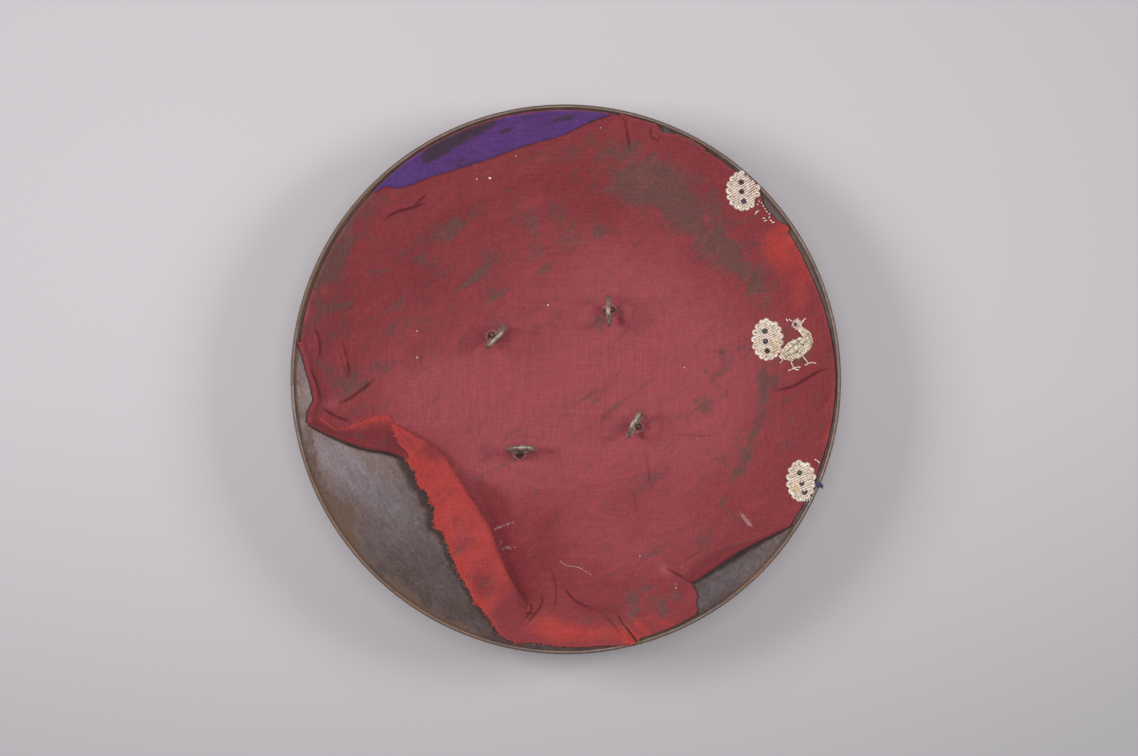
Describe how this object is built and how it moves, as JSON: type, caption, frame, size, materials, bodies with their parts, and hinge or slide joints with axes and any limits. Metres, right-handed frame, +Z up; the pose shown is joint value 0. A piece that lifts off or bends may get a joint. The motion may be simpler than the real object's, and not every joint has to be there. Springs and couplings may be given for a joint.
{
  "type": "dhal shield",
  "caption": "Round domed steel shield lying hollow side up, with a worn red cloth lining, a violet border, swinging strap rings inside and domed bosses outside.",
  "frame": {"origin": "on the ground under the middle of the bowl, level with the worn flats of the four bosses", "axes": "+Z up out of the hollow, +Y towards the violet border, +X towards the embroidered birds"},
  "size_m": [0.45, 0.45, 0.0747],
  "materials": {
    "bowl_steel": "worn steel, brown patina with fine scratches and rust at the rim",
    "dark_iron": "forged iron, dark brown patina",
    "ring_iron": "iron wire worn bright along the crest",
    "red_cotton": "plain weave, faded and stained",
    "violet_cotton": "plain weave, stained",
    "pale_thread": "laid silk and metal thread, dull",
    "dark_thread": "dark violet silk"
  },
  "bodies": {
    "shield": {"shell": "bowl_steel", "lining": "red_cotton", "lining_border": "violet_cotton", "boss_upper_right": "dark_iron", "boss_upper_left": "dark_iron", "boss_lower_left": "dark_iron", "boss_lower_right": "dark_iron", "eyebolt_upper_right": "dark_iron", "eyebolt_upper_left": "dark_iron", "eyebolt_lower_left": "dark_iron", "eyebolt_lower_right": "dark_iron", "washer_upper_right": "dark_iron", "washer_upper_left": "dark_iron", "washer_lower_left": "dark_iron", "washer_lower_right": "dark_iron"},
    "upper_right_ring": {"ring_upper_right": "ring_iron"},
    "upper_left_ring": {"ring_upper_left": "ring_iron"},
    "lower_left_ring": {"ring_lower_left": "ring_iron"},
    "lower_right_ring": {"ring_lower_right": "ring_iron"}
  },
  "joints": [
    {"name": "upper_right_swing", "type": "hinge", "parent": "shield", "child": "upper_right_ring", "pos_m": [0.03736, 0.0598, 0.02278], "axis": [-0.0345, 0.9887, 0.1461], "range_deg": [-98, 98]},
    {"name": "upper_left_swing", "type": "hinge", "parent": "shield", "child": "upper_left_ring", "pos_m": [-0.0598, 0.03736, 0.02278], "axis": [0.6492, 0.7601, -0.0263], "range_deg": [-98, 98]},
    {"name": "lower_left_swing", "type": "hinge", "parent": "shield", "child": "lower_left_ring", "pos_m": [-0.03736, -0.0598, 0.02278], "axis": [0.9956, 0, -0.094], "range_deg": [-98, 98]},
    {"name": "lower_right_swing", "type": "hinge", "parent": "shield", "child": "lower_right_ring", "pos_m": [0.0598, -0.03736, 0.02278], "axis": [0.4848, 0.8746, -0.0093], "range_deg": [-98, 98]}
  ]
}
